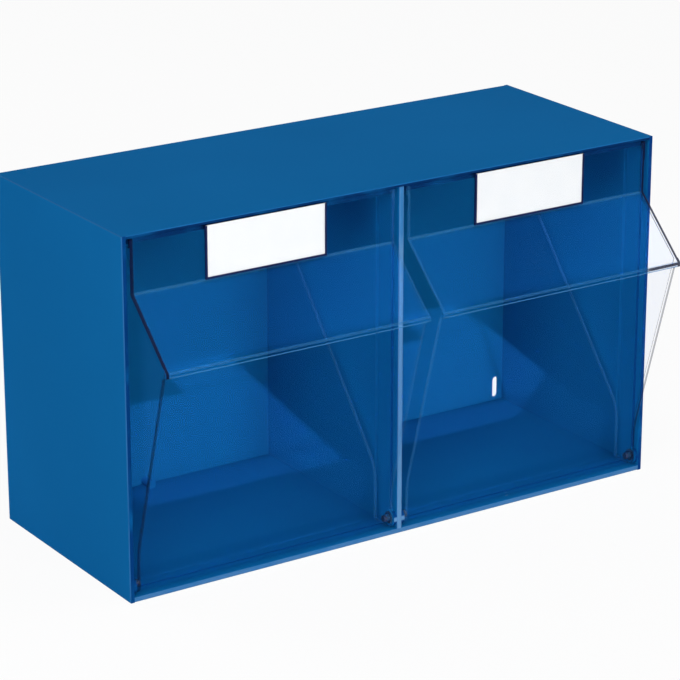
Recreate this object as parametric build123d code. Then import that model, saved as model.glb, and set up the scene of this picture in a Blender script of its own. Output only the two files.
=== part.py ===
from build123d import *
import math
import os

# Cabinet of flat moulded panels. Sizes are millimetres, +X right, +Y back, +Z up.
cabinet_width = 600.0
cabinet_height = 353.0
cabinet_depth = 240.0
side_wall = 4.5
top_wall = 3.0
base_wall = 5.0
back_wall = 3.0
back_cut_overrun = 3.0
divider_wall = 6.0
back_recess = 3.0
edge_round = 1.2
divider_round = 2.0
panel_play = 0.3

# Tongues that locate the panels in each other, hidden behind the front edges.
tongue_thickness = 1.4
tongue_reach = 2.0
divider_tongue_reach = 1.2
tongue_play = 0.1
tongue_setback = 12.0

# Ribs on the side panels and the divider that guide the bins.
guide_height = 3.2
guide_width = 2.0
front_guide_setback = 9.0
rear_guide_setback = 35.0

# Clear bins.
bin_wall = 2.5
bin_side_gap = 4.25
bin_face_setback = 1.0
bin_floor_gap = 1.0
bin_top_gap = 1.5
fold_height = 297.0
grip_reach = 59.0
grip_top = 240.0
grip_nose = 4.5
grip_underside = 234.0
grip_undercut = 6.5
lower_bend_height = 48.0
lower_bend_radius = 90.0
bin_floor_depth = 29.0
rear_bend_height = 61.0
rear_bend_radius = 40.0
rear_lean = 39.3
floor_corner_radius = 8.5
rear_corner_radius = 5.0
fold_radius = 2.0
ridge_radius = 0.6
bin_edge_round = 1.2
side_rim_drop = 10.0
stop_rim_drop = 3.0

# Pivots at the bins' lower front corners.
stud_radius = 3.5
stud_collar_radius = 6.0
stud_collar = 0.8
stud_seat = 5.4
stud_end_gap = 0.5
stud_chamfer = 0.6
pivot_boss_radius = 9.0
pivot_boss_sink = 1.6
bearing_radius = 7.5
bearing_length = 4.0
running_play = 0.05

# Stop ribs under the top panel and rest ribs on the base panel.
stop_rib_width = 3.0
stop_rib_gap = 2.0
stop_overlap = 3.5
rest_rib_width = 4.0
rest_rib_setback = 9.7
rest_play = 0.1
rib_end_gap = 1.0

# Screws that hold the back panel.
screw_radius = 1.5
screw_length = 12.0
screw_head_radius = 3.2
screw_head_height = 2.0
screw_head_round = 1.0
screw_recess_width = 0.8
screw_recess_reach = 1.9
screw_recess_depth = 1.1
screw_play = 0.3
pilot_play = 0.02
boss_radius = 4.5
boss_length = 14.0
boss_sink = 0.7
screw_drop = 50.0

# Slots in the back panel for hanging the cabinet on a wall.
wall_slot_radius = 3.75
wall_slot_length = 23.5
wall_slot_edge_x = 13.5
wall_slot_edge_z = 20.0

# Label holders on the bins' upper fronts.
label_width = 126.0
label_border = 2.0
label_lip = 0.5
label_back = 0.6
label_card = 0.4
label_cover = 0.4
label_tuck = 1.2
label_play = 0.1

total_depth = cabinet_depth + grip_reach
front_y = grip_reach - total_depth / 2
back_y = front_y + cabinet_depth
half_width = cabinet_width / 2
inner_half = half_width - side_wall
inner_top = cabinet_height - top_wall
back_outer_y = back_y - back_recess
back_inner_y = back_outer_y - back_wall
compartment_width = inner_half - divider_wall / 2
bin_width = compartment_width - 2 * bin_side_gap
bin_centre = divider_wall / 2 + compartment_width / 2
bin_floor = base_wall + bin_floor_gap
bin_top = inner_top - bin_top_gap
pivot_setback = bin_face_setback + floor_corner_radius
pivot_height = bin_floor + floor_corner_radius
side_rim_radius = inner_top - pivot_height - side_rim_drop
stop_rim_radius = inner_top - pivot_height - stop_rim_drop
stop_rib_height = stop_rim_drop + stop_overlap
stop_rib_setback = bin_face_setback + bin_wall + stop_rib_gap
upper_lean = math.atan2(grip_reach + bin_face_setback, fold_height - grip_top)
label_bottom = fold_height + fold_radius * math.tan(upper_lean / 2) + label_play
label_pocket = label_card + label_cover + label_play
label_depth = label_back + label_pocket + label_lip
label_outer_width = label_width + 2 * label_border


def side_point(forward, height):
    """A point of the side view: forward of the cabinet's front plane, and up."""
    return (front_y - forward, height)


def side_face(points):
    """A closed face in the side view."""
    return make_face(Plane.YZ * Polyline(*[side_point(*p) for p in points], close=True))


def across(face, low_x, high_x):
    """A side view face made solid from low_x to high_x."""
    return Pos(low_x, 0, 0) * extrude(face, high_x - low_x, dir=(1, 0, 0))


def box(low, high):
    """A block between two corners."""
    size = [b - a for a, b in zip(low, high)]
    return Pos(*low) * Box(*size, align=(Align.MIN, Align.MIN, Align.MIN))


def rod(radius, length, start, direction):
    """A round bar from start along direction."""
    return extrude(Plane(start, z_dir=direction) * Circle(radius), length)


def mitred(points, inset):
    """An open line moved to its left by inset, with mitred corners."""
    steps = [(b[0] - a[0], b[1] - a[1]) for a, b in zip(points, points[1:])]
    units = [(u / math.hypot(u, v), v / math.hypot(u, v)) for u, v in steps]
    sides = [(-v, u) for u, v in units]
    moved = [(points[0][0] + inset * sides[0][0], points[0][1] + inset * sides[0][1])]
    for point, (a, b), (c, d) in zip(points[1:-1], sides, sides[1:]):
        scale = inset / (1 + a * c + b * d)
        moved.append((point[0] + scale * (a + c), point[1] + scale * (b + d)))
    moved.append((points[-1][0] + inset * sides[-1][0], points[-1][1] + inset * sides[-1][1]))
    return moved


def rear_point(radius, inset):
    """Where the bin's rear wall, moved in by inset, is radius away from the pivot."""
    lean = math.radians(rear_lean)
    along = (-math.sin(lean), math.cos(lean))
    start = rear_bend_point()
    start = (start[0] + inset * math.cos(lean), start[1] + inset * math.sin(lean))
    offset = (start[0] + pivot_setback, start[1] - pivot_height)
    reach = offset[0] * along[0] + offset[1] * along[1]
    gap = offset[0] ** 2 + offset[1] ** 2 - radius**2
    travel = -reach + math.sqrt(reach**2 - gap)
    return (start[0] + travel * along[0], start[1] + travel * along[1])


def rear_bend_point():
    """The corner where the bin's low back leans away."""
    return (-bin_face_setback - bin_floor_depth, rear_bend_height)


def grip_corner():
    """Where the bin's leaning upper and lower fronts meet, behind the grip."""
    upper = math.tan(upper_lean)
    foot = grip_reach - grip_undercut + bin_face_setback
    lower = foot / (grip_underside - lower_bend_height)
    height = (upper * fold_height + lower * lower_bend_height) / (upper + lower)
    return (lower * (height - lower_bend_height) - bin_face_setback, height)


def bin_outline(top, rear):
    """The bin's outer line from the top of its front to the top of its back."""
    face = -bin_face_setback
    return [
        (face, top),
        (face, fold_height),
        grip_corner(),
        (face, lower_bend_height),
        (face, bin_floor),
        (face - bin_floor_depth, bin_floor),
        rear_bend_point(),
        rear,
    ]


def bin_radii(inset):
    """Corner radii of the outline moved in by inset."""
    return [
        fold_radius + inset,
        ridge_radius,
        lower_bend_radius + inset,
        floor_corner_radius - inset,
        rear_corner_radius - inset,
        rear_bend_radius + inset,
    ]


def bin_block():
    """The bin's outer form, its side walls topped by an arc about the pivot."""
    arc_x = -bin_face_setback + pivot_setback
    front_top = pivot_height + math.sqrt(side_rim_radius**2 - arc_x**2)
    rear = rear_point(side_rim_radius, 0)
    points = [Vector(*side_point(*p)) for p in bin_outline(front_top, rear)]
    path = FilletPolyline(*points, radius=bin_radii(0))
    middle = side_point(-pivot_setback + side_rim_radius * math.sin(-mid_angle()),
                        pivot_height + side_rim_radius * math.cos(mid_angle()))
    arc = ThreePointArc(points[-1], Vector(*middle), points[0])
    face = make_face(Plane.YZ * Curve([path, arc]))
    return across(face, -bin_width / 2, bin_width / 2)


def mid_angle():
    """Half way along the arc of the side walls' rims."""
    rear = rear_point(side_rim_radius, 0)
    return math.atan2(-rear[0] - pivot_setback, rear[1] - pivot_height) / 2


def bin_cavity():
    """The hollow of the bin, open at the top."""
    rear = rear_point(cabinet_height, 0)
    line = mitred(bin_outline(cabinet_height, rear), -bin_wall)
    path = FilletPolyline(*[side_point(*p) for p in line], radius=bin_radii(bin_wall))
    lid = Polyline(side_point(*line[-1]), side_point(line[-1][0], 2 * cabinet_height),
                   side_point(line[0][0], 2 * cabinet_height), side_point(*line[0]))
    face = make_face(Plane.YZ * Curve([path, lid]))
    return across(face, bin_wall - bin_width / 2, bin_width / 2 - bin_wall)


def bin_front_rim():
    """The top of the bin's front, above its side walls."""
    low = inner_top - 2 * side_rim_drop
    face = side_face([
        (-bin_face_setback, low),
        (-bin_face_setback, bin_top),
        (-bin_face_setback - bin_wall, bin_top),
        (-bin_face_setback - bin_wall, low),
    ])
    return across(face, -bin_width / 2, bin_width / 2)


def bin_stop_rim():
    """The top of the bin's back, which meets the stop rib when the bin is tilted."""
    low = side_rim_radius - stop_overlap
    face = side_face([
        rear_point(low, 0),
        rear_point(stop_rim_radius, 0),
        rear_point(stop_rim_radius, bin_wall),
        rear_point(low, bin_wall),
    ])
    return across(face, -bin_width / 2, bin_width / 2)


def bin_grip():
    """The lip along the ridge that fingers pull."""
    corner = grip_corner()
    face = side_face([
        corner,
        (grip_reach, grip_top),
        (grip_reach, grip_top - grip_nose),
        (grip_reach - grip_undercut, grip_underside),
        (grip_reach - grip_undercut - bin_wall / 2, grip_underside),
        (corner[0] - bin_wall, corner[1]),
    ])
    lip = across(face, -bin_width / 2, bin_width / 2)
    tips = lip.edges().filter_by(Axis.X).sort_by(Axis.Y)[0:2]
    return fillet(tips, bin_wall / 2)


def bin_bearings():
    """Thick rings inside the side walls for the pivots."""
    rings = []
    for side in (-1, 1):
        start = (side * (bin_width / 2 - bin_wall / 2), front_y + pivot_setback, pivot_height)
        rings.append(rod(bearing_radius, bearing_length + bin_wall / 2, start, (-side, 0, 0)))
    return rings


def bin_bore():
    """The hole through both bearings."""
    start = (-bin_width, front_y + pivot_setback, pivot_height)
    return rod(stud_radius + running_play, 2 * bin_width, start, (1, 0, 0))


def bin_shell():
    """One clear moulded bin, centred on the cabinet's middle plane."""
    block = bin_block()
    ends = [e for e in block.edges() if abs(abs(e.center().X) - bin_width / 2) < running_play]
    ends = [e for e in ends if e.geom_type == GeomType.LINE and e.center().Y < front_y]
    block = fillet(ends, bin_edge_round)
    shell = block - bin_cavity()
    shell = shell + bin_front_rim() + bin_stop_rim() + bin_grip()
    for ring in bin_bearings():
        shell = shell + ring
    return shell - bin_bore()


def label_frame():
    """A thin holder with an open top, bonded to the bin's front."""
    back = front_y + bin_face_setback
    half = label_outer_width / 2
    frame = box((-half, back - label_depth, label_bottom), (half, back, bin_top))
    slot_half = half - label_border + label_tuck + label_play
    floor = label_bottom + label_border - label_tuck - label_play
    pocket = box((-slot_half, back - label_back - label_pocket, floor),
                 (slot_half, back - label_back, cabinet_height))
    window = box((-label_width / 2, back - 2 * label_depth, label_bottom + label_border),
                 (label_width / 2, back - label_back, cabinet_height))
    frame = frame - pocket - window
    front = frame.faces().sort_by(Axis.Y)[0]
    return chamfer(front.outer_wire().edges(), label_lip / 2)


def label_sheet(thickness, ahead):
    """A sheet in the label holder's pocket, ahead of the holder's back."""
    half = label_width / 2 + label_tuck
    back = front_y + bin_face_setback - label_back - ahead
    floor = label_bottom + label_border - label_tuck
    return box((-half, back - thickness, floor), (half, back, bin_top))


def screw_places():
    """Centre of each back panel screw as x and z."""
    shelf = boss_radius - boss_sink
    column = inner_half - shelf
    places = [(x, cabinet_height - screw_drop) for x in (-column, 0, column)]
    rows = (base_wall + shelf, inner_top - shelf)
    return places + [(x, z) for x in (-bin_centre, bin_centre) for z in rows]


def screw_boss(x, z):
    """The block that a back panel screw bites into."""
    return rod(boss_radius, boss_length, (x, back_inner_y, z), (0, -1, 0))


def screw_pilot(x, z):
    """The hole in a screw boss."""
    return rod(screw_radius + pilot_play, screw_length, (x, back_inner_y, z), (0, -1, 0))


def with_bosses(panel, places):
    """A panel with screw bosses added and drilled."""
    for x, z in places:
        panel = panel + screw_boss(x, z)
    for x, z in places:
        panel = panel - screw_pilot(x, z)
    return panel


def back_screw(x, z):
    """A pan head screw with a cross recess, driven from behind."""
    head = rod(screw_head_radius, screw_head_height, (x, back_outer_y, z), (0, 1, 0))
    head = fillet(head.edges().sort_by(Axis.Y)[-1], screw_head_round)
    depth = back_wall + screw_length - screw_radius
    shank = rod(screw_radius, depth, (x, back_outer_y, z), (0, -1, 0))
    reach = screw_recess_reach
    top = back_outer_y + screw_head_height
    half = screw_recess_width / 2
    recess = [
        box((x - reach, top - screw_recess_depth, z - half), (x + reach, top, z + half)),
        box((x - half, top - screw_recess_depth, z - reach), (x + half, top, z + reach)),
    ]
    return head + shank - recess


def guide_ribs(wall_x, side):
    """Two upright ribs on a wall face at wall_x, standing out towards side."""
    ribs = []
    for setback in (front_guide_setback, rear_guide_setback):
        y = front_y + setback
        low_x, high_x = sorted((wall_x, wall_x + side * guide_height))
        ribs.append(box((low_x, y - guide_width / 2, base_wall),
                        (high_x, y + guide_width / 2, inner_top)))
    return ribs


def pivot_boss(wall_x, side):
    """The round seat for a pivot stud on a wall face."""
    start = (wall_x - side * pivot_boss_sink, front_y + pivot_setback, pivot_height)
    boss = rod(pivot_boss_radius, pivot_boss_sink + guide_height, start, (side, 0, 0))
    floor = box((-half_width, front_y - pivot_boss_radius, -cabinet_height),
                (half_width, back_y, base_wall))
    return boss - floor


def pivot_hole(wall_x, side):
    """The blind hole in a pivot boss."""
    face = wall_x + side * guide_height
    start = (face, front_y + pivot_setback, pivot_height)
    return rod(stud_radius, stud_seat, start, (-side, 0, 0))


def pivot_stud(wall_x, side):
    """A stud pressed into the boss, with a collar that spaces the bin."""
    y = front_y + pivot_setback
    face = wall_x + side * guide_height
    bin_face = wall_x + side * bin_side_gap
    free = abs(bin_face - face) + bin_wall + bearing_length - stud_end_gap
    start = (face - side * stud_seat, y, pivot_height)
    shank = rod(stud_radius, stud_seat + free, start, (side, 0, 0))
    tip = shank.edges().sort_by(Axis.X)[-1 if side > 0 else 0]
    shank = chamfer(tip, stud_chamfer)
    return shank + rod(stud_collar_radius, stud_collar, (face, y, pivot_height), (side, 0, 0))


def tongue(low_x, high_x, middle_z):
    """A flat tongue along a panel's end, short of the front and the back."""
    half = tongue_thickness / 2
    return box((low_x, front_y + tongue_setback, middle_z - half),
               (high_x, back_inner_y - tongue_setback, middle_z + half))


def tongue_groove(low_x, high_x, middle_z):
    """The groove for a tongue, with its clearance."""
    half = tongue_thickness / 2 + tongue_play
    return box((low_x, front_y + tongue_setback - tongue_play, middle_z - half),
               (high_x, back_inner_y - tongue_setback + tongue_play, middle_z + half))


def divider_tongue(low_z, high_z, play):
    """The upright tongue on the divider's top or bottom, or its groove."""
    half = tongue_thickness + play
    return box((-half, front_y + tongue_setback - play, low_z),
               (half, back_inner_y - tongue_setback + play, high_z))


def side_panel(side):
    """A side panel, plain outside, with ribs, a pivot seat and bosses inside."""
    low_x, high_x = sorted((side * half_width, side * inner_half))
    plate = box((low_x, front_y, 0), (high_x, back_y, cabinet_height))
    outer = plate.faces().sort_by(Axis.X)[-1 if side > 0 else 0]
    plate = fillet(outer.edges(), edge_round)
    face_x = side * inner_half
    for rib in guide_ribs(face_x, -side):
        plate = plate + rib
    plate = plate + pivot_boss(face_x, -side) - pivot_hole(face_x, -side)
    reach_x = side * (inner_half + tongue_reach + tongue_play)
    low_x, high_x = sorted((face_x, reach_x))
    for middle_z in (base_wall / 2, cabinet_height - top_wall / 2):
        plate = plate - tongue_groove(low_x, high_x, middle_z)
    places = [(x, z) for x, z in screw_places() if x * side > bin_centre]
    return with_bosses(plate, places)


def end_plate(low_z, high_z, outer_index):
    """A top or base plate between the side panels, with tongues into them."""
    plate = box((-inner_half, front_y, low_z), (inner_half, back_y, high_z))
    outer = plate.faces().sort_by(Axis.Z)[outer_index]
    front = outer.edges().filter_by(Axis.X).sort_by(Axis.Y)
    plate = fillet(front, edge_round)
    reach = inner_half + tongue_reach
    return plate + tongue(-reach, reach, (low_z + high_z) / 2)


def compartment_ribs(low_y, high_y, low_z, high_z):
    """One rib in each compartment, clear of the guides at its ends."""
    half = compartment_width / 2 - guide_height - rib_end_gap
    return [box((x - half, low_y, low_z), (x + half, high_y, high_z))
            for x in (-bin_centre, bin_centre)]


def top_panel():
    """The top, with a stop rib above each bin."""
    panel = end_plate(inner_top, cabinet_height, -1)
    y = front_y + stop_rib_setback
    for rib in compartment_ribs(y, y + stop_rib_width, inner_top - stop_rib_height, inner_top):
        panel = panel + rib
    high = inner_top + divider_tongue_reach + tongue_play
    panel = panel - divider_tongue(inner_top, high, tongue_play)
    middle = cabinet_height / 2
    places = [(x, z) for x, z in screw_places() if abs(x) == bin_centre and z > middle]
    return with_bosses(panel, places)


def base_panel():
    """The base, with a rib that each bin's floor rests on."""
    panel = end_plate(0, base_wall, 0)
    y = front_y + pivot_setback + rest_rib_setback
    rib_top = bin_floor - rest_play
    for rib in compartment_ribs(y, y + rest_rib_width, base_wall, rib_top):
        panel = panel + rib
    low = base_wall - divider_tongue_reach - tongue_play
    panel = panel - divider_tongue(low, base_wall, tongue_play)
    middle = cabinet_height / 2
    places = [(x, z) for x, z in screw_places() if abs(x) == bin_centre and z < middle]
    return with_bosses(panel, places)


def centre_divider():
    """The upright between the bins, with guides and pivot seats on both faces."""
    half = divider_wall / 2
    plate = box((-half, front_y, base_wall), (half, back_inner_y, inner_top))
    front = plate.edges().filter_by(Axis.Z).sort_by(Axis.Y)[0:2]
    plate = fillet(front, divider_round)
    for side in (-1, 1):
        for rib in guide_ribs(side * half, side):
            plate = plate + rib
        plate = plate + pivot_boss(side * half, side)
    for side in (-1, 1):
        plate = plate - pivot_hole(side * half, side)
    for low, high in ((base_wall - divider_tongue_reach, base_wall),
                      (inner_top, inner_top + divider_tongue_reach)):
        plate = plate + divider_tongue(low, high, 0)
    places = [(x, z) for x, z in screw_places() if x == 0]
    return with_bosses(plate, places)


def wall_slot(x, z):
    """An upright slot through the back panel."""
    slot = SlotOverall(wall_slot_length, 2 * wall_slot_radius, rotation=90)
    start = (x, back_outer_y + back_cut_overrun, z)
    plane = Plane(start, x_dir=(1, 0, 0), z_dir=(0, -1, 0))
    return extrude(plane * slot, back_wall + 2 * back_cut_overrun)


def back_panel():
    """The back, screwed on from behind, with slots for wall screws."""
    half = inner_half - panel_play
    panel = box((-half, back_inner_y, base_wall + panel_play),
                (half, back_outer_y, inner_top - panel_play))
    length = back_wall + 2 * back_cut_overrun
    for x, z in screw_places():
        start = (x, back_inner_y - back_cut_overrun, z)
        panel = panel - rod(screw_radius + screw_play, length, start, (0, 1, 0))
    for x in (wall_slot_edge_x - half_width, half_width - wall_slot_edge_x):
        for z in (wall_slot_edge_z, cabinet_height - wall_slot_edge_z):
            panel = panel - wall_slot(x, z)
    return panel


def write(shape, name):
    """Save one sub-part under its name."""
    export_step(shape, f"parts/{name}.step")


os.makedirs("parts", exist_ok=True)

write(side_panel(-1), "left_side_panel")
write(side_panel(1), "right_side_panel")
write(top_panel(), "top_panel")
write(base_panel(), "base_panel")
write(centre_divider(), "centre_divider")
write(back_panel(), "back_panel")
write(Compound([back_screw(x, z) for x, z in screw_places()]), "back_screws")

bin_walls = {
    "left": (-bin_centre, -inner_half, -divider_wall / 2),
    "right": (bin_centre, divider_wall / 2, inner_half),
}
for name, (centre, low_wall, high_wall) in bin_walls.items():
    write(pivot_stud(low_wall, 1), f"{name}_bin_left_pivot")
    write(pivot_stud(high_wall, -1), f"{name}_bin_right_pivot")
    place = Pos(centre, 0, 0)
    write(place * bin_shell(), f"{name}_bin_shell")
    write(place * label_frame(), f"{name}_label_frame")
    write(place * label_sheet(label_card, 0), f"{name}_label_card")
    ahead = label_card + label_play / 2
    write(place * label_sheet(label_cover, ahead), f"{name}_label_cover")
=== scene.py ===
import math

import bpy
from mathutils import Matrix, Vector

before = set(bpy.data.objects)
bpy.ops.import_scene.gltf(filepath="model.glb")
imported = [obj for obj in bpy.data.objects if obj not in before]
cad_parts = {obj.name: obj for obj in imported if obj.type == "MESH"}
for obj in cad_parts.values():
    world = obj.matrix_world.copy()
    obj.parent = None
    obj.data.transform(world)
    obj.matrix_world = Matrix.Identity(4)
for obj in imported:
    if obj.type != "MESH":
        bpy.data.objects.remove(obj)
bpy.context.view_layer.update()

# The cabinet stands on a pale sweep. A long lens looks at it from its front left,
# from a little above, and five soft lamps and the white room light it evenly.
view_azimuth = math.radians(33.49)
view_elevation = math.radians(19.47)
view_distance = 2.891
view_target = Vector((-0.0095, 0.0, 0.1737))
sensor_width = 36.0
lens_length = 157.2
camera_reach = 50.0
sweep_half = 6.0
sweep_grey = (0.86, 0.87, 0.88, 1.0)
sweep_glow = 0.93
room_white = (0.93, 0.96, 1.0, 1.0)
room_strength = 0.22
backdrop_white = (0.96, 0.97, 0.98, 1.0)
lamp_aim = Vector((0.0, 0.0, 0.18))
see_through_bounces = 24

scene = bpy.context.scene
scene.view_settings.view_transform = "Standard"
scene.cycles.transparent_max_bounces = see_through_bounces

towards = Vector((
    math.sin(view_azimuth) * math.cos(view_elevation),
    math.cos(view_azimuth) * math.cos(view_elevation),
    -math.sin(view_elevation),
))
camera_data = bpy.data.cameras.new("studio_camera")
camera_data.sensor_width = sensor_width
camera_data.lens = lens_length
camera_data.clip_end = camera_reach
camera = bpy.data.objects.new("studio_camera", camera_data)
camera.location = view_target - view_distance * towards
camera.rotation_mode = "QUATERNION"
camera.rotation_quaternion = towards.to_track_quat("-Z", "Y")
scene.collection.objects.link(camera)
scene.camera = camera


def add_node(tree, kind, feeds=None, **settings):
    """Add one shader node with its settings, and feed its sockets values or links."""
    node = tree.nodes.new("ShaderNode" + kind)
    for setting, value in settings.items():
        setattr(node, setting, value)
    for socket, feed in (feeds or {}).items():
        if isinstance(feed, bpy.types.NodeSocket):
            tree.links.new(feed, node.inputs[socket])
        else:
            node.inputs[socket].default_value = feed
    return node


def start_finish(name):
    """A new material with nothing in it but its output."""
    finish = bpy.data.materials.new(name)
    finish.use_nodes = True
    finish.node_tree.nodes.clear()
    return finish, finish.node_tree


def seen_share(tree):
    """1 where a camera, mirrored or transmitted ray arrives, 0 for light."""
    path = add_node(tree, "LightPath")
    seen = add_node(tree, "Math", {
        0: path.outputs["Is Camera Ray"], 1: path.outputs["Is Glossy Ray"],
    }, operation="MAXIMUM")
    return add_node(tree, "Math", {
        0: seen.outputs[0], 1: path.outputs["Is Transmission Ray"],
    }, operation="MAXIMUM").outputs[0]


sweep_finish, tree = start_finish("sweep_board")
board = add_node(tree, "BsdfDiffuse", {"Color": sweep_grey})
glow = add_node(tree, "Emission", {"Strength": 1.0})
share = add_node(tree, "Math", {0: seen_share(tree), 1: sweep_glow}, operation="MULTIPLY")
mix = add_node(tree, "MixShader", {0: share.outputs[0], 1: board.outputs[0], 2: glow.outputs[0]})
add_node(tree, "OutputMaterial", {"Surface": mix.outputs[0]})

sweep_mesh = bpy.data.meshes.new("studio_sweep")
sweep_mesh.from_pydata(
    [(sweep_half * x, sweep_half * y, 0) for x, y in ((-1, -1), (1, -1), (1, 1), (-1, 1))],
    [], [(0, 1, 2, 3)])
sweep_mesh.materials.append(sweep_finish)
sweep = bpy.data.objects.new("studio_sweep", sweep_mesh)
scene.collection.objects.link(sweep)

room = bpy.data.worlds.new("studio_room")
room.use_nodes = True
room.node_tree.nodes.clear()
tree = room.node_tree
lit = add_node(tree, "Background", {"Color": room_white, "Strength": room_strength})
backdrop = add_node(tree, "Background", {"Color": backdrop_white, "Strength": 1.0})
mix = add_node(tree, "MixShader", {0: seen_share(tree), 1: lit.outputs[0], 2: backdrop.outputs[0]})
add_node(tree, "OutputWorld", {"Surface": mix.outputs[0]})
scene.world = room

# Each softbox is given by its place, its width and its power.
softboxes = {
    "front_softbox": ((0.16, -3.13, 0.85), 1.0, 41.0),
    "fill_softbox": ((-1.50, -1.74, 2.10), 1.4, 29.0),
    "left_softbox": ((-2.45, -1.50, 0.50), 0.6, 15.0),
    "top_softbox": ((1.5, -1.0, 2.6), 1.65, 24.5),
    "rear_softbox": ((-1.4, 2.4, 1.5), 1.5, 26.0),
}
for name, (place, width, power) in softboxes.items():
    lamp_data = bpy.data.lights.new(name, "AREA")
    lamp_data.size = width
    lamp_data.energy = power
    lamp = bpy.data.objects.new(name, lamp_data)
    lamp.location = place
    lamp.rotation_mode = "QUATERNION"
    lamp.rotation_quaternion = (lamp_aim - Vector(place)).to_track_quat("-Z", "Y")
    scene.collection.objects.link(lamp)


# The housing is six panels moulded in blue polystyrene and held by tongues. The
# tool's fine grain covers them. Their front faces and outer corners carry painted
# highlight and painted shade, and the faces of the ribs behind the fronts carry painted shade.
# Painted highlight on the fronts of the base and divider; painted shade on the fronts of the side
# panels and on the top panel's front edge.
front_highlight_and_shade = {
    "left_side_panel": (0.0012, 0.034, 0.150, 1.0),
    "right_side_panel": (0.0020, 0.034, 0.165, 1.0),
    "top_panel": (0.0015, 0.022, 0.095, 1.0),
    "base_panel": (0.050, 0.165, 0.360, 1.0),
    "centre_divider": (0.095, 0.235, 0.445, 1.0),
    "back_panel": (0.010, 0.120, 0.330, 1.0),
}
# Painted highlight on the outer rounded corners; painted shade on the right side panel's corners.
corner_highlight_and_shade = {
    "left_side_panel": (0.022, 0.125, 0.320, 1.0),
    "right_side_panel": (0.006, 0.070, 0.230, 1.0),
    "top_panel": (0.010, 0.120, 0.330, 1.0),
    "base_panel": (0.080, 0.190, 0.370, 1.0),
    "centre_divider": (0.085, 0.225, 0.440, 1.0),
    "back_panel": (0.010, 0.120, 0.330, 1.0),
}
housing_blue = (0.0037, 0.131, 0.362, 1.0)
housing_deep_blue = (0.0028, 0.120, 0.335, 1.0)
back_blue = (0.0045, 0.130, 0.325, 1.0)
back_deep_blue = (0.0035, 0.120, 0.300, 1.0)
# Painted shade on the front-facing faces in the recess behind the cabinet's front.
recess_painted_shade = (0.0012, 0.044, 0.180, 1.0)
housing_roughness = 0.6
housing_gloss = 0.006
housing_flow_scale = 2.6
housing_flow_detail = 4.0
housing_flow_range = (0.35, 0.65)
# Noise that breaks the painted highlight and painted shade on fronts and corners into patches.
painted_patch_scale = 40.0
painted_patch_detail = 3.0
painted_patch_range = (0.0, 0.55)
housing_grain_scale = 950.0
housing_grain_depth = 0.00004
housing_grain_strength = 0.03
grain_detail = 2.0
cabinet_front = -0.0905
front_band = 0.0006
stop_rib_band = 0.0065
recess_depth = 0.030
cabinet_half_width = 0.300
cabinet_height = 0.353
corner_round = 0.0012
# Above this height the divider keeps only a share of its painted highlight.
painted_fade_height = 0.305
painted_fade_span = 0.02
divider_upper_highlight_share = 0.35
facing_front_range = (-0.3, -0.6)
rounded_range = (0.985, 0.94)


def mix_colour(tree, share, first, second):
    """One colour changing to another with a share."""
    mix = add_node(tree, "Mix", data_type="RGBA")
    for socket, feed in ((0, share), (6, first), (7, second)):
        if isinstance(feed, bpy.types.NodeSocket):
            tree.links.new(feed, mix.inputs[socket])
        else:
            mix.inputs[socket].default_value = feed
    return mix.outputs[2]


def between(tree, value, low, high):
    """0 below one value and 1 above another, smooth between them."""
    return add_node(tree, "MapRange", {
        "Value": value, "From Min": low, "From Max": high,
    }, interpolation_type="SMOOTHSTEP").outputs[0]


def times(tree, first, second):
    """The product of two values."""
    return add_node(tree, "Math", {0: first, 1: second}, operation="MULTIPLY").outputs[0]


def moulded_grain(tree, scale, depth, strength):
    """The surface direction of a fine grain from the moulding tool."""
    place = add_node(tree, "TexCoord")
    grain = add_node(tree, "TexNoise", {
        "Vector": place.outputs["Object"], "Scale": scale, "Detail": grain_detail,
    })
    return add_node(tree, "Bump", {
        "Height": grain.outputs[0], "Strength": strength, "Distance": depth,
    }).outputs[0]


def size_of(tree, value):
    """A value without its sign."""
    return add_node(tree, "Math", {0: value}, operation="ABSOLUTE").outputs[0]


def most(tree, *values):
    """The largest of some values."""
    result = values[0]
    for value in values[1:]:
        result = add_node(tree, "Math", {0: result, 1: value}, operation="MAXIMUM").outputs[0]
    return result


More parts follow.
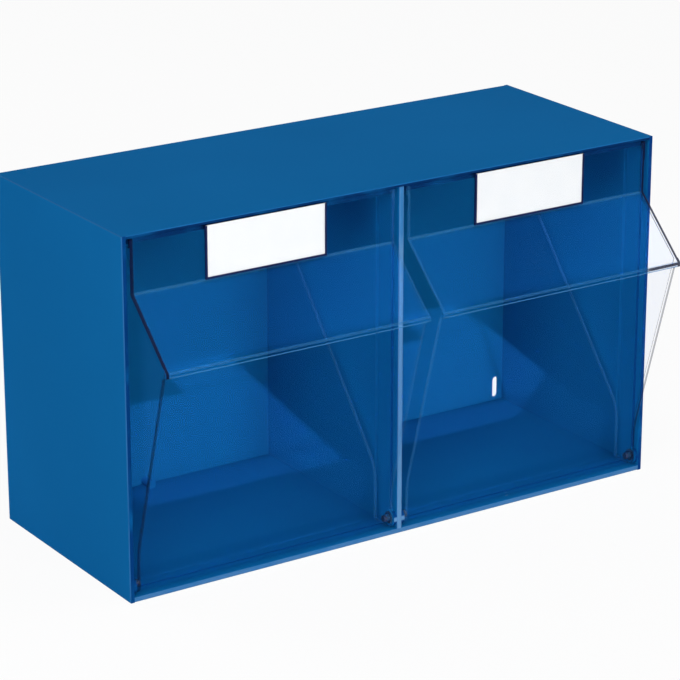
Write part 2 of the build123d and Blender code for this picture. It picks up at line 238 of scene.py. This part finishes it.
def housing_finish(panel, band, upper_painted_share):
    """Grained blue plastic, with painted highlight and shade on its front faces and outer corners,
    and painted shade in the recess behind the front.
    """
    finish, tree = start_finish(f"{panel}_polystyrene")
    place = add_node(tree, "TexCoord")
    flow = add_node(tree, "TexNoise", {
        "Vector": place.outputs["Object"],
        "Scale": housing_flow_scale, "Detail": housing_flow_detail,
    })
    blues = (housing_deep_blue, housing_blue)
    if panel == "back_panel":
        blues = (back_deep_blue, back_blue)
    body = mix_colour(tree, between(tree, flow.outputs[0], *housing_flow_range), *blues)
    x, y, z = add_node(tree, "SeparateXYZ", {0: place.outputs["Object"]}).outputs
    flat = add_node(tree, "NewGeometry").outputs["True Normal"]
    normals = add_node(tree, "SeparateXYZ", {0: flat}).outputs
    turned = [size_of(tree, part) for part in normals]
    reach = corner_round / 4
    faces_front = between(tree, normals[1], *facing_front_range)
    at_front = times(
        tree, faces_front,
        between(tree, y, cabinet_front + band + reach, cabinet_front + band))
    in_recess = times(
        tree, faces_front,
        between(tree, y, cabinet_front + recess_depth, cabinet_front + recess_depth - reach))
    outside = most(
        tree, at_front,
        between(tree, size_of(tree, x), cabinet_half_width - 2 * reach, cabinet_half_width - reach),
        between(tree, z, cabinet_height - 2 * reach, cabinet_height - reach))
    rounded = times(tree, outside, between(tree, most(tree, *turned), *rounded_range))
    painted_patch_noise = add_node(tree, "TexNoise", {
        "Vector": place.outputs["Object"],
        "Scale": painted_patch_scale, "Detail": painted_patch_detail,
    })
    painted_patch_share = between(tree, painted_patch_noise.outputs[0], *painted_patch_range)
    painted_share_by_height = add_node(tree, "MapRange", {
        "Value": z, "From Min": painted_fade_height, "From Max": painted_fade_height - painted_fade_span,
        "To Min": upper_painted_share, "To Max": 1.0,
    }).outputs[0]
    painted_patch_share = times(tree, painted_patch_share, painted_share_by_height)
    # Painted shade in the recess, then painted highlight and shade on the fronts and outer corners,
    # in patches.
    colour = mix_colour(tree, in_recess, body, recess_painted_shade)
    colour = mix_colour(tree, at_front, colour, body)
    colour = mix_colour(tree, times(tree, at_front, painted_patch_share), colour, front_highlight_and_shade[panel])
    colour = mix_colour(tree, times(tree, rounded, painted_patch_share), colour, corner_highlight_and_shade[panel])
    plastic = add_node(tree, "BsdfPrincipled", {
        "Base Color": colour,
        "Roughness": housing_roughness, "Specular IOR Level": housing_gloss,
        "Normal": moulded_grain(
            tree, housing_grain_scale, housing_grain_depth, housing_grain_strength),
    })
    add_node(tree, "OutputMaterial", {"Surface": plastic.outputs[0]})
    return finish


def dress(node, finish):
    """Give a carried piece its finish."""
    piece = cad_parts[node]
    for slot in piece.material_slots:
        slot.material = finish


for panel in front_highlight_and_shade:
    # On the top panel the painted shade of the front reaches back over the stop rib.
    band = stop_rib_band if panel == "top_panel" else front_band
    upper_painted_share = divider_upper_highlight_share if panel == "centre_divider" else 1.0
    dress(panel, housing_finish(panel, band, upper_painted_share))


# Zinc plated pan head screws with a cross recess hold the back panel to the bosses
# of the other panels.
screw_grey = (0.62, 0.62, 0.60, 1.0)
screw_dull_grey = (0.50, 0.50, 0.47, 1.0)
screw_roughness = 0.34
screw_gloss = 0.5
screw_grain = 600.0
screw_grain_strength = 0.2
spread_coarseness = 20.0
spread_detail = 3.0
spread_range = (0.3, 0.7)
plain_grain_depth = 0.0001


def plain_finish(name, colour, second_colour, roughness, gloss, grain, strength, metallic=0.0):
    """A solid finish that varies a little, with a fine grain."""
    finish, tree = start_finish(name)
    place = add_node(tree, "TexCoord")
    spread = add_node(tree, "TexNoise", {
        "Vector": place.outputs["Object"],
        "Scale": grain / spread_coarseness, "Detail": spread_detail,
    })
    shade = mix_colour(
        tree, between(tree, spread.outputs[0], *spread_range), colour, second_colour)
    shader = add_node(tree, "BsdfPrincipled", {
        "Base Color": shade, "Roughness": roughness, "Metallic": metallic,
        "Specular IOR Level": gloss,
        "Normal": moulded_grain(tree, grain, plain_grain_depth, strength),
    })
    add_node(tree, "OutputMaterial", {"Surface": shader.outputs[0]})
    return finish


dress("back_screws", plain_finish(
    "screw_zinc", screw_grey, screw_dull_grey, screw_roughness, screw_gloss,
    screw_grain, screw_grain_strength, metallic=1.0))


# Each bin turns on two moulded studs, pressed into seats on the panels. A collar
# keeps the bin's side wall off the panel.
stud_navy = (0.006, 0.012, 0.035, 1.0)
stud_worn_navy = (0.010, 0.018, 0.045, 1.0)
stud_roughness = 0.45
stud_gloss = 0.4
stud_grain = 700.0
stud_grain_strength = 0.1

stud_finish = plain_finish(
    "stud_acetal", stud_navy, stud_worn_navy, stud_roughness, stud_gloss,
    stud_grain, stud_grain_strength)
for side in ("left", "right"):
    for end in ("left", "right"):
        dress(f"{side}_bin_{end}_pivot", stud_finish)


# Each bin is one moulding in clear polystyrene from a polished tool. Its walls are
# 2.5 mm thick. Their edges, the fold and the ridge carry painted highlight lines in pale
# blue, and painted shade in navy at the outer front ends and the ridge tip.
bin_centre = 0.14925
bin_half = 0.142
bin_wall = 0.0025
fold_height = 0.2969
ridge_height = 0.2399
ridge_underside = 0.2358
ridge_tip_height = 0.2388
clear_tint = (0.995, 0.998, 1.0, 1.0)
clear_gloss = (0.02, 0.27, 1.0, 1.0)
clear_reflection = 0.018
clear_roughness = 0.03
clear_white = (1.0, 1.0, 1.0, 1.0)
glance_blend = 0.5
glance_power = 5.0
white_gloss_range = (0.5, 0.9)
side_wall_share = 0.3
side_wall_range = (0.99, 0.90)
# Painted highlight and painted shade for the bin's edge lines, drawn by an opaque shader over the
# clear skin.
painted_edge_highlight = (0.035, 0.20, 0.45, 1.0)
painted_edge_shade = (0.002, 0.006, 0.035, 1.0)
inner_end_cover = 0.15
outer_end_cover = 0.93
lower_end_cover = 0.50
rear_edge_cover = 0.25
fold_cover = 0.22
ridge_cover = 0.30
under_cover = 0.70
rim_roughness = 0.35
rim_gloss = 0.04
end_reach = (0.0010, 0.0005)
outer_end_reach = 0.01
bin_front = -0.0870
bin_nose = -0.1475
depth_fade = 0.001
tip_range = (0.240, 0.255)
fold_line_reach = 0.0007
ridge_line_reach = 0.0008
under_line_reach = 0.0006
tip_line_reach = 0.0011


def close_to(tree, value, target, reach):
    """1 within a reach of a target, falling to 0 at twice that."""
    away = add_node(tree, "Math", {0: value, 1: target}, operation="SUBTRACT").outputs[0]
    away = add_node(tree, "Math", {0: away}, operation="ABSOLUTE").outputs[0]
    return between(tree, away, 2 * reach, reach)


def clear_skin(tree, tint, gloss_colour, reflection, roughness, share=1.0):
    """A see-through surface that mirrors a little, and more and whiter at a glance."""
    facing = add_node(tree, "LayerWeight", {"Blend": glance_blend}).outputs["Facing"]
    glance = add_node(tree, "Math", {0: facing, 1: glance_power}, operation="POWER").outputs[0]
    mirror = add_node(tree, "MapRange", {
        "Value": glance, "To Min": reflection, "To Max": 1.0,
    }).outputs[0]
    gloss = add_node(tree, "BsdfGlossy", {
        "Color": mix_colour(
            tree, between(tree, facing, *white_gloss_range), gloss_colour, clear_white),
        "Roughness": roughness,
    })
    through = add_node(tree, "BsdfTransparent", {"Color": tint})
    return add_node(tree, "MixShader", {
        0: times(tree, mirror, share), 1: through.outputs[0], 2: gloss.outputs[0],
    }).outputs[0]


clear_finish, tree = start_finish("clear_polystyrene")
place = add_node(tree, "TexCoord")
x, y, z = add_node(tree, "SeparateXYZ", {0: place.outputs["Object"]}).outputs
flat = add_node(tree, "NewGeometry").outputs["True Normal"]
sideways = size_of(tree, add_node(tree, "SeparateXYZ", {0: flat}).outputs[0])
off_side_wall = between(tree, sideways, *side_wall_range)
from_centre = add_node(tree, "Math", {
    0: size_of(tree, x), 1: bin_centre}, operation="SUBTRACT").outputs[0]
from_centre = size_of(tree, from_centre)
inside_face = bin_half - bin_wall
at_end = between(tree, from_centre, *(inside_face - reach for reach in end_reach))
outer_end = between(tree, size_of(tree, x), bin_centre, bin_centre + outer_end_reach)
at_front = between(tree, y, bin_front + depth_fade, bin_front)
at_nose = between(tree, y, bin_nose + depth_fade, bin_nose)
above_ridge = between(tree, z, ridge_underside - depth_fade, ridge_underside)
far_end = between(tree, x, *tip_range)


def blend(tree, share, low, high):
    """A value that goes from low to high with a share of 0 to 1."""
    return add_node(tree, "MapRange", {
        "Value": share, "To Min": low, "To Max": high,
    }).outputs[0]


front_end_cover = blend(tree, outer_end, inner_end_cover, blend(
    tree, above_ridge, lower_end_cover, outer_end_cover))
end_cover = times(tree, at_end, blend(tree, at_front, rear_edge_cover, front_end_cover))
fold_line = times(tree, close_to(tree, z, fold_height, fold_line_reach), at_front)
ridge_line = times(tree, close_to(tree, z, ridge_height, ridge_line_reach), at_nose)
under_line = times(tree, close_to(tree, z, ridge_underside, under_line_reach), at_nose)
tip_line = times(tree, close_to(tree, z, ridge_tip_height, tip_line_reach), at_nose)
tip = times(tree, tip_line, far_end)
edges = most(
    tree, end_cover, times(tree, fold_line, fold_cover),
    times(tree, ridge_line, ridge_cover), times(tree, under_line, under_cover),
    times(tree, tip, outer_end_cover))
edges = times(tree, edges, off_side_wall)
dark = most(tree, tip, times(tree, times(tree, at_end, outer_end), at_front))
wall = clear_skin(
    tree, clear_tint, clear_gloss, clear_reflection, clear_roughness,
    blend(tree, off_side_wall, side_wall_share, 1.0))
painted_edge_lines = add_node(tree, "BsdfPrincipled", {
    "Base Color": mix_colour(tree, dark, painted_edge_highlight, painted_edge_shade),
    "Roughness": rim_roughness, "Specular IOR Level": rim_gloss,
})
mix = add_node(tree, "MixShader", {0: edges, 1: wall, 2: painted_edge_lines.outputs[0]})
add_node(tree, "OutputMaterial", {"Surface": mix.outputs[0]})
for side in ("left", "right"):
    dress(f"{side}_bin_shell", clear_finish)


# A thin dark moulded holder is bonded to each bin's upright front. A white card and
# a clear film slide into it from above.
holder_navy = (0.002, 0.007, 0.045, 1.0)
holder_worn_navy = (0.003, 0.010, 0.060, 1.0)
holder_roughness = 0.5
holder_gloss = 0.08
holder_grain = 700.0
holder_grain_strength = 0.08
card_white = (0.780, 0.780, 0.780, 1.0)
card_cool_white = (0.765, 0.770, 0.775, 1.0)
card_roughness = 0.85
card_gloss = 0.2
card_grain = 900.0
card_grain_strength = 0.2
film_reflection = 0.01
film_roughness = 0.08

holder_finish = plain_finish(
    "holder_plastic", holder_navy, holder_worn_navy, holder_roughness, holder_gloss,
    holder_grain, holder_grain_strength)
card_finish = plain_finish(
    "card_paper", card_white, card_cool_white, card_roughness, card_gloss,
    card_grain, card_grain_strength)
film_finish, tree = start_finish("clear_film")
skin = clear_skin(tree, clear_tint, clear_white, film_reflection, film_roughness)
add_node(tree, "OutputMaterial", {"Surface": skin})
for side in ("left", "right"):
    dress(f"{side}_label_frame", holder_finish)
    dress(f"{side}_label_card", card_finish)
    dress(f"{side}_label_cover", film_finish)
